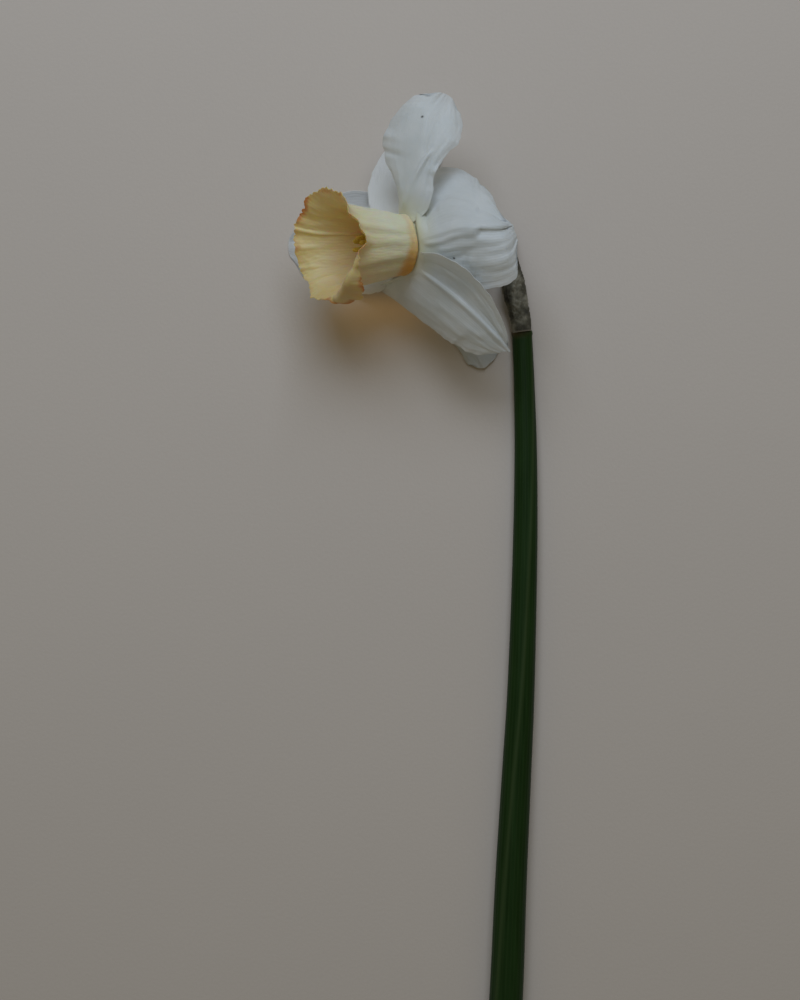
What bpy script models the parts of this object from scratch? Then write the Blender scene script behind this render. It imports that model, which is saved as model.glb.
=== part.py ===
"""A cut daffodil lying on a flat surface: Blender 4.5 script, metres, +Z up.

The stem lies along Y with its cut end towards -Y. The flower head is turned to the side,
towards -X, and looks a little upwards. The surface is z = 0 and the model's box is centred
over the origin.
"""
import math

import bpy
import bmesh
from mathutils import Matrix, Vector

MM = 0.001

# Driving dimensions, in millimetres and degrees
HEAD_PLACE = (1.5, 79.8, 23.0)     # middle of the ring where the petals and the cup meet
HEAD_TILT = 25.0                   # how far the flower's axis rises above the surface
HEAD_SWING = 5.0                   # how far it is turned from -X towards -Y
RING_RADIUS = 8.9                  # the petals' feet stand on this circle
INNER_STEP = 0.8                   # the inner petals stand this far behind the cup's foot
OUTER_STEP = 1.5                   # and the outer petals this far
PETAL_THICKNESS = 0.8
CUP_THICKNESS = 0.8
CUP_FOOT_RADIUS = 9.0
CUP_BODY_RADIUS = 13.0
CUP_SIDES = 48
CUP_BELLY = 0.8                    # exponent of its widening from the foot
CUP_FLARE = 5                      # exponent of the flare at its rim
CUP_ROLLBACK = 0.10                # how far the flare turns outwards, as a share of its depth
TUBE_LENGTH = 20.0
TUBE_WALL = 0.7
TUBE_FLOOR = 1.2                   # thickness of the tube's closed end
OVARY_LENGTH = 11.0
STAMENS = 6
STAMEN_RADIUS = 2.9
FIRST_STAMEN = 15.0                # its angle round the axis
ANTHER_START, ANTHER_END = 9.0, 16.0
ANTHER_THICKNESS = 1.7
FILAMENT_FOOT = -9.0
FILAMENT_THICKNESS = 1.0
STYLE_TIP = 13.0
STYLE_THICKNESS = 1.2
STIGMA_RADIUS = 1.3
SPATHE_WALL = 0.5
GAP = 0.3                          # left between pieces that touch
SHARP_EDGE = 40.0                  # faces that meet at more than this show an edge

# Profiles along the flower's axis, as pairs of radius and distance
TUBE_PROFILE = ((3.0, 0.0), (3.3, 5.0), (4.2, 11.0), (6.0, 16.0), (8.4, TUBE_LENGTH - GAP))
OVARY_PROFILE = ((1.6, 0.0), (3.0, 1.4), (4.0, 4.0), (4.3, 6.4), (3.9, 8.8), (3.1, 10.4),
                 (2.6, OVARY_LENGTH))
# Profile of an anther, as shares of its half thickness and of its length
ANTHER_PROFILE = ((0.3, 0.0), (0.8, 0.08), (1.0, 0.3), (0.95, 0.7), (0.7, 0.93), (0.25, 1.0))

# Rim of the cup, every 30 degrees round from its upper side: radius and distance along the axis
RIM_RADIUS = (16.6, 17.2, 17.8, 17.9, 17.6, 17.0, 16.8, 17.2, 18.0, 18.2, 17.6, 17.2)
RIM_REACH = (21.2, 24.0, 24.7, 26.6, 28.8, 29.8, 29.6, 28.6, 28.4, 28.0, 27.2, 25.6)

# Centre line of the stem on the surface (x, y) and its width, from the cut end to the top
STEM_LINE = ((29.4, -228.0), (31.6, -194.0), (34.0, -160.0), (35.6, -122.0), (37.4, -88.0),
             (38.7, -64.0), (39.7, -35.0), (40.3, -8.0), (40.4, 16.0), (39.9, 38.0),
             (39.2, 54.3))
STEM_WIDTH = (11.3, 11.1, 10.9, 10.3, 9.6, 9.0, 8.4, 7.9, 7.3, 6.7, 6.4)
STEM_FLATNESS = 0.84               # height of the stem's section against its width
STEM_STATIONS = 30
STEM_SIDES = 12

# Flower stalk from the stem's top round the bend, up to the ovary; and its radius along the way
PEDICEL_LINE = ((39.2, 54.6, 3.2), (38.5, 59.5, 3.3), (37.2, 65.0, 3.5), (35.8, 71.0, 3.8),
                (35.2, 76.4, 4.6), (34.6, 80.2, 6.2))
PEDICEL_RADII = (1.7, 1.53, 1.53, 1.53, 1.53, 1.53, 1.56, 1.61)
PEDICEL_END = 2.9                  # length of its last straight stretch under the ovary

# Papery sheath round the stalk: its centre line, radius, and the angles where its wall starts
# and ends, which leave its split between them
SPATHE_LINE = ((39.2, 54.7, 3.3), (38.5, 59.5, 3.5), (37.2, 65.0, 3.7), (36.0, 71.0, 4.0),
               (35.6, 77.0, 4.3), (35.2, 82.0, 4.2), (34.6, 87.5, 3.6))
SPATHE_RADII = (2.55, 2.75, 3.2, 3.5, 3.4, 3.1, 2.8)
SPATHE_START = (-160.0, -160.0, -155.0, -145.0, -105.0, -75.0, -40.0)
SPATHE_END = (168.0, 166.0, 160.0, 140.0, 78.0, 56.0, 34.0)

# Petals. foot: angle round the ring from its upper side. path: the midrib after the foot.
# face: direction the inner face looks in, at the foot, the middle and the tip.
# left, right: half widths at STATIONS, and sweep: how far that edge is drawn back there.
# fold: degrees that each half is raised by, and how much more at its edge; droops: the folds go
# straight down and not square to the midrib.
STATIONS = (0.0, 0.1, 0.22, 0.36, 0.5, 0.64, 0.78, 0.9, 1.0)
NO_SWEEP = (0.0,) * len(STATIONS)
PETALS = {
    "tepal_outer_1": dict(
        foot=1.0, outer=True,
        path=((12.2, 81.8, 36.2), (18.2, 83.0, 40.6), (24.2, 82.8, 43.0), (30.0, 81.9, 43.0),
              (35.4, 81.5, 40.8)),
        face=((-0.6, 0.0, 0.8), (-0.35, 0.0, 0.93), (0.25, 0.0, 0.97)),
        left=(3.8, 22.0, 30.0, 31.0, 25.4, 19.2, 12.2, 5.2, 1.2),
        right=(3.6, 13.0, 18.0, 20.0, 20.8, 20.4, 18.6, 15.8, 9.0),
        sweep_right=(0.0, 0.0, 0.0, 0.0, 0.0, 1.0, 1.8, 1.6, -1.5),
        fold_left=(-41.0, -4.0), fold_right=(-12.0, -17.0), droops=True),
    "tepal_inner_1": dict(
        foot=79.0, outer=False,
        path=((3.6, 96.0, 28.2), (6.0, 103.5, 29.8), (8.8, 112.0, 30.2), (11.8, 120.0, 29.2),
              (14.8, 126.4, 27.4)),
        face=((-0.7, -0.1, 0.7), (-0.35, 0.0, 0.93), (0.1, 0.1, 0.98)),
        left=(4.4, 5.6, 8.4, 13.2, 15.4, 14.2, 11.0, 7.0, 3.0),
        right=(3.6, 6.2, 6.8, 5.4, 6.6, 9.2, 8.6, 6.0, 2.6),
        fold_left=(0.0, -10.0), fold_right=(9.0, -10.0)),
    "tepal_inner_2": dict(
        foot=-56.0, outer=False,
        path=((10.2, 68.4, 31.0), (17.2, 62.6, 33.0), (23.6, 56.9, 33.4), (29.0, 51.6, 32.2),
              (33.4, 46.8, 30.2)),
        face=((-0.6, -0.3, 0.74), (-0.25, -0.25, 0.93), (0.05, -0.15, 0.98)),
        left=(3.6, 9.5, 15.0, 16.5, 14.5, 11.5, 8.5, 5.0, 1.2),
        right=(4.8, 22.5, 20.5, 18.6, 16.8, 14.9, 12.2, 8.8, 3.6),
        sweep_right=(0.0, 17.5, 9.5, 3.0, 0.6, 0.0, 0.0, 0.0, 0.0),
        fold_left=(20.0, 26.0), fold_right=(-12.0, -16.0)),
    "tepal_outer_2": dict(
        foot=130.0, outer=True,
        path=((0.4, 93.4, 10.8), (2.4, 100.5, 5.6), (5.0, 107.0, 2.2), (7.4, 112.5, 1.2),
              (9.4, 117.0, 1.0)),
        face=((-0.6, 0.35, 0.7), (-0.15, 0.35, 0.92), (0.0, 0.05, 1.0)),
        left=(4.4, 8.0, 10.8, 12.2, 12.0, 11.0, 9.5, 6.5, 2.0),
        right=(4.4, 6.0, 6.6, 6.6, 6.4, 6.6, 6.4, 5.0, 2.0),
        fold_left=(8.0, 6.0), fold_right=(0.0, -10.0)),
    "tepal_inner_3": dict(
        foot=187.0, outer=False,
        path=((-6.0, 78.2, 8.2), (-11.5, 79.2, 3.6), (-18.0, 80.8, 1.4), (-27.0, 81.8, 0.5),
              (-36.2, 82.0, 0.4)),
        face=((-0.85, -0.1, 0.5), (-0.35, 0.0, 0.93), (0.0, 0.0, 1.0)),
        left=(4.4, 8.0, 11.5, 13.0, 13.4, 13.0, 11.8, 8.5, 3.4),
        right=(4.0, 5.6, 8.0, 16.5, 20.5, 19.0, 14.5, 9.0, 3.4),
        sweep_right=(0.0, 0.0, 0.0, 3.0, 1.0, 0.0, 0.0, 0.0, 0.0),
        fold_left=(-4.0, 0.0), fold_right=(-10.0, -4.0)),
    "tepal_outer_3": dict(
        foot=245.0, outer=True,
        path=((7.0, 67.0, 13.0), (13.4, 61.4, 7.8), (19.2, 55.0, 4.2), (23.8, 48.6, 2.0),
              (27.4, 42.9, 1.2)),
        face=((-0.45, -0.5, 0.7), (-0.3, -0.45, 0.84), (0.0, -0.1, 1.0)),
        left=(4.4, 7.0, 9.0, 9.5, 9.5, 9.2, 9.0, 7.6, 4.4),
        right=(4.4, 5.5, 6.5, 6.6, 6.0, 5.2, 4.6, 4.2, 2.6),
        fold_left=(0.0, -10.0), fold_right=(0.0, -8.0)),
}

# colour, roughness
LOOKS = {
    "petal": ((0.86, 0.88, 0.84), 0.55),
    "cup": ((0.88, 0.66, 0.27), 0.5),
    "tube": ((0.62, 0.68, 0.36), 0.5),
    "ovary": ((0.16, 0.30, 0.07), 0.45),
    "stem": ((0.05, 0.12, 0.025), 0.4),
    "spathe": ((0.30, 0.25, 0.17), 0.8),
    "filament": ((0.80, 0.80, 0.45), 0.5),
    "anther": ((0.72, 0.47, 0.06), 0.75),
}


def clear_scene():
    for thing in list(bpy.data.objects):
        bpy.data.objects.remove(thing, do_unlink=True)


def make_material(node, look):
    colour, roughness = LOOKS[look]
    material = bpy.data.materials.new(node)
    material.use_nodes = True
    shader = material.node_tree.nodes["Principled BSDF"]
    shader.inputs["Base Color"].default_value = (*colour, 1.0)
    shader.inputs["Roughness"].default_value = roughness
    shader.inputs["Metallic"].default_value = 0.0
    material.diffuse_color = (*colour, 1.0)
    return material


def smooth_value(values, place):
    """Catmull-Rom through equally spaced values (numbers or vectors), place from 0 to 1."""
    span = max(0.0, min(1.0, place)) * (len(values) - 1)
    i = min(int(span), len(values) - 2)
    f = span - i
    p1, p2 = values[i], values[i + 1]
    p0 = values[i - 1] if i > 0 else p1 * 2 - p2
    p3 = values[i + 2] if i + 2 < len(values) else p2 * 2 - p1
    return (p1 * 2 + (p2 - p0) * f + (p0 * 2 - p1 * 5 + p2 * 4 - p3) * (f * f)
            + (p1 * 3 - p0 - p2 * 3 + p3) * (f * f * f)) * 0.5


def station_value(values, place):
    """Smooth reading of a list that is stated at STATIONS."""
    last = len(STATIONS) - 2
    i = next((k for k in range(last) if place <= STATIONS[k + 1]), last)
    inside = (place - STATIONS[i]) / (STATIONS[i + 1] - STATIONS[i])
    return smooth_value(values, (i + inside) / (last + 1))


def head_frame():
    """Flower head's own frame: X is its upper side, Y its side away from the stem, Z its axis."""
    tilt, swing = math.radians(HEAD_TILT), math.radians(HEAD_SWING)
    axis = Vector((-math.cos(tilt) * math.cos(swing), -math.cos(tilt) * math.sin(swing),
                   math.sin(tilt)))
    side = Vector((-math.sin(swing), math.cos(swing), 0.0))
    up = side.cross(axis)
    turn = Matrix((up, side, axis)).transposed().to_4x4()
    return Matrix.Translation(Vector(HEAD_PLACE)) @ turn


HEAD = head_frame()


def ring_point(angle, radius, reach):
    """Point of the flower head in the surface's frame, by angle, radius and place on the axis."""
    a = math.radians(angle)
    return HEAD @ Vector((radius * math.cos(a), radius * math.sin(a), reach))


def finish(node, mesh, look, parent, matrix=None):
    """Object of the node's name with a clean closed mesh, given in millimetres."""
    mesh.verts.ensure_lookup_table()
    bmesh.ops.scale(mesh, vec=(MM, MM, MM), verts=mesh.verts)
    bmesh.ops.triangulate(mesh, faces=mesh.faces, quad_method="SHORT_EDGE")
    bmesh.ops.recalc_face_normals(mesh, faces=mesh.faces)
    if mesh.calc_volume(signed=True) < 0:
        bmesh.ops.reverse_faces(mesh, faces=mesh.faces)
    data = bpy.data.meshes.new(node)
    mesh.to_mesh(data)
    mesh.free()
    data.shade_smooth()
    data.set_sharp_from_angle(angle=math.radians(SHARP_EDGE))
    data.materials.append(make_material(node, look))
    thing = bpy.data.objects.new(node, data)
    bpy.context.scene.collection.objects.link(thing)
    thing.parent = parent
    if matrix is not None:
        place = matrix.copy()
        place.translation = place.translation * MM
        thing.matrix_local = place
    return thing


def skin_grid(mesh, rows, closed_round):
    """Quads over rows of vertices; closed_round joins the last of a row to its first."""
    for lower, upper in zip(rows, rows[1:]):
        count = len(lower)
        for i in range(count if closed_round else count - 1):
            j = (i + 1) % count
            mesh.faces.new((lower[i], lower[j], upper[j], upper[i]))


def loft(sections, caps=True):
    """Closed solid through rings of points that all have the same count."""
    mesh = bmesh.new()
    rows = [[mesh.verts.new(point) for point in section] for section in sections]
    skin_grid(mesh, rows, True)
    if caps:
        mesh.faces.new(list(reversed(rows[0])))
        mesh.faces.new(rows[-1])
    return mesh


def sleeve(outer, inner):
    """Open-ended sleeve between two sets of rings."""
    mesh = bmesh.new()
    outside = [[mesh.verts.new(p) for p in section] for section in outer]
    inside = [[mesh.verts.new(p) for p in section] for section in inner]
    skin_grid(mesh, outside, True)
    skin_grid(mesh, [list(row) for row in reversed(inside)], True)
    skin_grid(mesh, [inside[0], outside[0]], True)
    skin_grid(mesh, [outside[-1], inside[-1]], True)
    return mesh


def sheet(points, thickness, floor=None):
    """Closed solid of even thickness round a grid of points; floor is the lowest it may reach."""
    rows, columns = len(points), len(points[0])
    mesh = bmesh.new()
    top, bottom = [], []
    for r in range(rows):
        top.append([])
        bottom.append([])
        for c in range(columns):
            along = points[min(r + 1, rows - 1)][c] - points[max(r - 1, 0)][c]
            across = points[r][min(c + 1, columns - 1)] - points[r][max(c - 1, 0)]
            normal = across.cross(along).normalized() * (thickness / 2)
            ends = [points[r][c] + normal, points[r][c] - normal]
            if floor is not None:
                low = 0 if ends[0].z < ends[1].z else 1
                lift = max(0.0, floor - ends[low].z)
                ends[low].z += lift
                ends[1 - low].z = max(ends[1 - low].z, ends[low].z + thickness * 0.7, floor)
            top[r].append(mesh.verts.new(ends[0]))
            bottom[r].append(mesh.verts.new(ends[1]))
    skin_grid(mesh, top, False)
    skin_grid(mesh, [list(reversed(row)) for row in bottom], False)
    rim = ([(r, 0) for r in range(rows)] + [(rows - 1, c) for c in range(1, columns)]
           + [(r, columns - 1) for r in range(rows - 2, -1, -1)]
           + [(0, c) for c in range(columns - 2, 0, -1)])
    for (r0, c0), (r1, c1) in zip(rim, rim[1:] + rim[:1]):
        mesh.faces.new((top[r0][c0], top[r1][c1], bottom[r1][c1], bottom[r0][c0]))
    return mesh


def circle(centre, x_axis, y_axis, radius, sides):
    """Ring of points round a centre."""
    angles = [2 * math.pi * i / sides for i in range(sides)]
    return [centre + x_axis * (radius * math.cos(a)) + y_axis * (radius * math.sin(a))
            for a in angles]


def turned(profile, sides):
    """Rings of a turned shape, from pairs of radius and height."""
    x_axis, y_axis = Vector((1, 0, 0)), Vector((0, 1, 0))
    return [circle(Vector((0, 0, height)), x_axis, y_axis, radius, sides)
            for radius, height in profile]


def rod(line, radii, stations, sides):
    """Rings of a round rod along a smooth line of points."""
    rings = []
    for i in range(stations + 1):
        place = i / stations
        here = smooth_value(line, place)
        step = 0.01
        ahead = smooth_value(line, min(place + step, 1.0)) - smooth_value(line, max(place - step, 0))
        tangent = ahead.normalized()
        side = tangent.cross(Vector((0, 0, 1))).normalized()
        rings.append(circle(here, side, side.cross(tangent), smooth_value(radii, place), sides))
    return rings


def petal_grid(spec, places, across):
    """Points of a petal's middle surface, rows along the midrib and columns from left to right."""
    setback = -OUTER_STEP if spec["outer"] else -INNER_STEP
    line = [ring_point(spec["foot"], RING_RADIUS, setback)] + [Vector(p) for p in spec["path"]]
    faces = [Vector(f).normalized() for f in spec["face"]]
    rows = []
    for place in places:
        here = smooth_value(line, place)
        step = 0.02
        tangent = (smooth_value(line, min(place + step, 1.0))
                   - smooth_value(line, max(place - step, 0.0))).normalized()
        face = smooth_value(faces, place)
        right = tangent.cross(face).normalized()
        face = right.cross(tangent).normalized()
        row = []
        for w in across:
            side = "left" if w < 0 else "right"
            reach = abs(w) * station_value(spec[side], place)
            start, grow = spec["fold_" + side]
            opening = min(1.0, place / 0.1)
            raised = math.radians((start + grow * abs(w)) * opening)
            offset = right * (math.copysign(1.0, w) * reach * math.cos(raised))
            sweep = station_value(spec.get("sweep_" + side, NO_SWEEP), place) * abs(w)
            rise = Vector((0, 0, 1)) if spec.get("droops") else face
            row.append(here + offset + rise * (reach * math.sin(raised)) - tangent * sweep)
        rows.append(row)
    return rows


def make_petals(parent):
    places = (0.0, 0.08, 0.16, 0.26, 0.38, 0.5, 0.62, 0.74, 0.84, 0.92, 0.97, 1.0)
    across = (-1.0, -0.8, -0.5, -0.2, 0.1, 0.4, 0.7, 0.9, 1.0)
    for node, spec in PETALS.items():
        grid = petal_grid(spec, places, across)
        finish(node, sheet(grid, PETAL_THICKNESS, floor=0.0), "petal", parent)


def cup_ring(place, shrink):
    """One ring of the cup, place 0 at its foot and 1 at its rim, moved inwards by shrink."""
    ring = []
    for i in range(CUP_SIDES):
        turn = i / CUP_SIDES
        rim_radius = smooth_value_round(RIM_RADIUS, turn)
        rim_reach = smooth_value_round(RIM_REACH, turn)
        body = CUP_FOOT_RADIUS + (CUP_BODY_RADIUS - CUP_FOOT_RADIUS) * place ** CUP_BELLY
        flare = (rim_radius - CUP_BODY_RADIUS) * place ** CUP_FLARE
        radius = body + flare - shrink
        angle = turn * 2 * math.pi
        rollback = CUP_ROLLBACK * place ** CUP_FLARE
        reach = rim_reach * (place - rollback) / (1 - CUP_ROLLBACK)
        ring.append(Vector((radius * math.cos(angle), radius * math.sin(angle), reach)))
    return ring


def smooth_value_round(values, turn):
    """Catmull-Rom round a closed list, turn from 0 to 1."""
    count = len(values)
    span = turn * count
    i = int(span) % count
    f = span - int(span)
    p0, p1, p2, p3 = (values[(i + k) % count] for k in (-1, 0, 1, 2))
    return 0.5 * (2 * p1 + (p2 - p0) * f + (2 * p0 - 5 * p1 + 4 * p2 - p3) * f * f
                  + (3 * p1 - p0 - 3 * p2 + p3) * f * f * f)


def make_cup(parent):
    places = (0.0, 0.12, 0.28, 0.44, 0.6, 0.74, 0.86, 0.94, 1.0)
    outer = [cup_ring(place, 0.0) for place in places]
    inner = [cup_ring(place, CUP_THICKNESS) for place in places]
    finish("corona", sleeve(outer, inner), "cup", parent)


def make_tube(parent):
    """Funnel behind the cup, closed at the ovary."""
    sides = 24
    outer = [(radius, height - TUBE_LENGTH) for radius, height in TUBE_PROFILE]
    inner = [(radius - TUBE_WALL, height) for radius, height in outer[1:]]
    floor = TUBE_FLOOR - TUBE_LENGTH
    bottom = outer[0][0] - TUBE_WALL
    inner = [(bottom * 0.45, floor), (bottom, floor + TUBE_WALL)] + inner
    mesh = bmesh.new()
    rings = [[mesh.verts.new(p) for p in ring] for ring in turned(outer, sides)]
    hollow = [[mesh.verts.new(p) for p in ring] for ring in turned(inner, sides)]
    skin_grid(mesh, rings + hollow[::-1], True)
    mesh.faces.new(rings[0])
    mesh.faces.new(hollow[0])
    finish("perianth_tube", mesh, "tube", parent)


def make_ovary(parent):
    foot = -TUBE_LENGTH - GAP - OVARY_LENGTH
    profile = [(radius, height + foot) for radius, height in OVARY_PROFILE]
    finish("ovary", loft(turned(profile, 18)), "ovary", parent)


def make_stamens(parent):
    """The stamens stand in a ring round the style, each a filament with an anther on it."""
    sides = 8
    half = FILAMENT_THICKNESS / 2
    tip = ANTHER_THICKNESS / 2
    length = ANTHER_END - ANTHER_START
    for i in range(STAMENS):
        turn = Matrix.Rotation(math.radians(360 / STAMENS * i + FIRST_STAMEN), 4, "Z")
        place = turn @ Matrix.Translation(Vector((STAMEN_RADIUS, 0, 0)))
        filament = turned(((half, FILAMENT_FOOT), (half * 0.8, 0), (half * 0.5, ANTHER_START - GAP)),
                          sides)
        finish("filament_%d" % (i + 1), loft(filament), "filament", parent, place)
        anther = turned([(tip * r, ANTHER_START + length * h) for r, h in ANTHER_PROFILE], sides)
        finish("anther_%d" % (i + 1), loft(anther), "anther", parent, place)


def make_style(parent):
    """Style from the floor of the tube, with the stigma's knob on its end."""
    radius = STYLE_THICKNESS / 2
    profile = ((radius, -TUBE_LENGTH + TUBE_FLOOR + GAP), (radius * 0.8, STYLE_TIP - 1.2),
               (STIGMA_RADIUS * 0.85, STYLE_TIP - 0.4), (STIGMA_RADIUS, STYLE_TIP + 0.3),
               (STIGMA_RADIUS * 0.7, STYLE_TIP + 0.9))
    finish("style", loft(turned(profile, 10)), "filament", parent)


def stem_ring(place):
    """Section of the stem: oval, with its lowest edge flat on the surface."""
    line = [Vector((x, y, 0.0)) for x, y in STEM_LINE]
    here = smooth_value(line, place)
    step = 0.01
    tangent = (smooth_value(line, min(place + step, 1.0))
               - smooth_value(line, max(place - step, 0.0))).normalized()
    side = tangent.cross(Vector((0, 0, 1)))
    half = smooth_value(STEM_WIDTH, place) / 2
    half_height = half * STEM_FLATNESS
    lowest = math.cos(math.pi / STEM_SIDES)
    ring = []
    for i in range(STEM_SIDES):
        a = 2 * math.pi * (i + 0.5) / STEM_SIDES
        point = here + side * (half * math.cos(a))
        point.z = max(0.0, half_height * (lowest + math.sin(a)))
        ring.append(point)
    return ring


def make_stem(parent):
    rings = [stem_ring(i / STEM_STATIONS) for i in range(STEM_STATIONS + 1)]
    finish("stem", loft(rings), "stem", parent)


def neck_line():
    """Line of the flower stalk, from the stem's top through the bend to the ovary."""
    under_ovary = -TUBE_LENGTH - OVARY_LENGTH - 2 * GAP
    return [Vector(point) for point in PEDICEL_LINE] + [
        ring_point(0, 0, under_ovary - PEDICEL_END), ring_point(0, 0, under_ovary)]


def make_pedicel(parent):
    finish("pedicel", loft(rod(neck_line(), PEDICEL_RADII, 22, 10)), "ovary", parent)


def make_spathe(parent):
    """Papery sheath round the stalk: a split sleeve that opens into a pointed blade."""
    line = [Vector(point) for point in SPATHE_LINE]
    rows = []
    stations, columns = 16, 15
    for i in range(stations + 1):
        place = i / stations
        here = smooth_value(line, place)
        tangent = (smooth_value(line, min(place + 0.02, 1.0))
                   - smooth_value(line, max(place - 0.02, 0.0))).normalized()
        side = tangent.cross(Vector((0, 0, 1))).normalized()
        up = side.cross(tangent)
        start = smooth_value(SPATHE_START, place)
        end = smooth_value(SPATHE_END, place)
        radius = smooth_value(SPATHE_RADII, place)
        row = []
        for c in range(columns):
            a = math.radians(start + (end - start) * c / (columns - 1))
            row.append(here + side * (radius * math.cos(a)) + up * (radius * math.sin(a)))
        rows.append(row)
    finish("spathe", sheet(rows, SPATHE_WALL, floor=0.0), "spathe", parent)


def add_empty(name, parent=None):
    empty = bpy.data.objects.new(name, None)
    bpy.context.scene.collection.objects.link(empty)
    empty.parent = parent
    return empty


def centre_on_surface(root):
    """Move the whole flower so that its box is centred over the origin, standing on z = 0."""
    bpy.context.view_layer.update()
    points = [thing.matrix_world @ vertex.co for thing in bpy.data.objects
              if thing.type == "MESH" for vertex in thing.data.vertices]
    low = [min(p[k] for p in points) for k in range(3)]
    high = [max(p[k] for p in points) for k in range(3)]
    root.location = (-(low[0] + high[0]) / 2, -(low[1] + high[1]) / 2, -low[2])


def main():
    clear_scene()
    root = add_empty("daffodil")
    head = add_empty("flower_head", root)
    place = HEAD.copy()
    place.translation = place.translation * MM
    head.matrix_local = place
    make_stem(root)
    make_pedicel(root)
    make_spathe(root)
    make_petals(root)
    make_cup(head)
    make_tube(head)
    make_ovary(head)
    make_stamens(head)
    make_style(head)
    centre_on_surface(root)


main()
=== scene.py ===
"""Looks of a cut daffodil that lies on a pale surface (Blender 4.5).

The tables below are in millimetres and degrees, in the flower's layout: z is the height over the
surface, the head lies at the layout's top and the stem runs down from it. SHIFT carries the
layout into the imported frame, in metres.
"""
import math

import bmesh
import bpy
import numpy as np
from mathutils import Matrix, Vector, noise


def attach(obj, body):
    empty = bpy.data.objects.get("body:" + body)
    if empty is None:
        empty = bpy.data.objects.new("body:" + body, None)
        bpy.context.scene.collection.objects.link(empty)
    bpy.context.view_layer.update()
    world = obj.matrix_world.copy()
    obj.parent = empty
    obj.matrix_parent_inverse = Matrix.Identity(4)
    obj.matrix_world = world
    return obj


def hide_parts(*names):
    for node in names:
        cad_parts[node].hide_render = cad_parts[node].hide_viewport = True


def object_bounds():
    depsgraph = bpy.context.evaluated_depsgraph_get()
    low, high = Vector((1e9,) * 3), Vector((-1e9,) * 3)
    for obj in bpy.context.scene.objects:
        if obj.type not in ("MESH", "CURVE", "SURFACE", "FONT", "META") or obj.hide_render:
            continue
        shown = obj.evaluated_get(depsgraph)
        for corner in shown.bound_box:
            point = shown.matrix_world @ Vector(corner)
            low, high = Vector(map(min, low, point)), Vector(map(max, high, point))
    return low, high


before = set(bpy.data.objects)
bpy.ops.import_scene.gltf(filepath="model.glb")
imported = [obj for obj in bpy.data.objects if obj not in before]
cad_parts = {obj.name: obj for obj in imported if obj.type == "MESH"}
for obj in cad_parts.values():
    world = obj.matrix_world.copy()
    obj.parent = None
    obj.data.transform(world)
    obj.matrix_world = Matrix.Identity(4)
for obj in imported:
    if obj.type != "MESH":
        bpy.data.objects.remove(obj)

MM = 0.001
UP = np.array([0.0, 0.0, 1.0])
CAD_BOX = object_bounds()
LAYOUT_MIDDLE = (3.93, -50.30)      # middle of the whole flower's box in the layout
SHIFT = np.array([(CAD_BOX[0].x + CAD_BOX[1].x) / 2 - LAYOUT_MIDDLE[0] * MM,
                  (CAD_BOX[0].y + CAD_BOX[1].y) / 2 - LAYOUT_MIDDLE[1] * MM, CAD_BOX[0].z])

# Camera: straight over the layout's origin
CAMERA_HEIGHT = 750.0
VIEW_LONG_SIDE = 322.6              # what it sees of the surface along its long side
SENSOR = 36.0

# Flower head
HEAD_PLACE = (1.5, 79.8, 23.0)
HEAD_TILT = 25.0
HEAD_SWING = 5.0
RING_RADIUS = 8.9
INNER_STEP, OUTER_STEP = 0.5, 0.85
TUBE_LENGTH = 20.0
OVARY_LENGTH = 11.0
TUBE_PROFILE = ((3.0, 0.0), (3.3, 5.0), (4.2, 11.0), (6.0, 16.0), (8.0, 19.2))
OVARY_PROFILE = ((1.6, 0.0), (3.0, 1.4), (4.0, 4.0), (4.3, 6.4), (3.9, 8.8), (3.1, 10.4), (2.6, 11.0))

# Cup: foot, profile and rim. The rim's tables go round from the upper side, every 30 degrees.
CUP_FOOT_RADIUS = 8.8
CUP_FOOT_REACH = -0.3
CUP_LEAN = 11.0                     # angle of its wall to the axis along the body
CUP_FLARE_START = 0.62              # from here on the wall bends outwards
RIM_RADIUS = (16.4, 17.0, 17.8, 17.9, 17.6, 17.0, 16.8, 17.1, 17.3, 15.8, 15.7, 16.4)
RIM_REACH = (21.0, 24.2, 24.7, 26.8, 29.0, 30.0, 29.8, 28.6, 28.5, 28.0, 27.6, 26.2)
RIM_TURNED_BACK = (0.0, 0.0, 0.0, 0.0, 0.0, 0.0, 0.0, 0.0, 0.0, 0.0, 7.5, 2.6)
TURNED_BACK_ANGLE = 164.0
CUP_CREASES = ((152.0, 2.2, 0.5, 0.1), (174.0, 2.5, 0.15, 0.5), (197.0, 2.5, 0.45, 0.7),
               (218.0, 3.0, 0.3, 0.5), (128.0, 3.0, 0.25, 0.5), (330.0, 6.0, -0.3, 0.1),
               (20.0, 5.0, -0.3, 0.1))     # angle, width, depth, share of the wall where it starts
CUP_ROWS, CUP_SIDES = 130, 480
CUP_THICKNESS, RIM_THINNING = 0.6, 0.35
RING_MIDDLE = 0.78                  # turn of the cup where the orange ring is widest and the painted shade darkest
TUBE_THICKNESS = 0.6

# Stamens and style
STAMENS = 6
FIRST_STAMEN = 15.0
STAMEN_RADIUS = 2.9
ANTHER_START, ANTHER_LENGTH, ANTHER_WIDTH = 9.8, 7.0, 1.7
FILAMENT_FOOT = -9.0
STYLE_FOOT, STYLE_TIP = -18.4, 13.0

# Stem: centre line (x, y) and width from the cut end to the top
STEM_LINE = ((29.4, -228.0), (31.6, -194.0), (34.0, -160.0), (35.6, -122.0), (37.4, -88.0),
             (38.7, -64.0), (39.7, -35.0), (40.3, -8.0), (40.4, 16.0), (39.9, 38.0), (39.2, 54.3))
STEM_WIDTH = (11.3, 11.1, 10.9, 10.3, 9.6, 9.0, 8.4, 7.9, 7.3, 6.7, 6.4)
STEM_FLATNESS = 0.84
STEM_ROWS, STEM_SIDES = 420, 144
STEM_RIBS = 26

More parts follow.
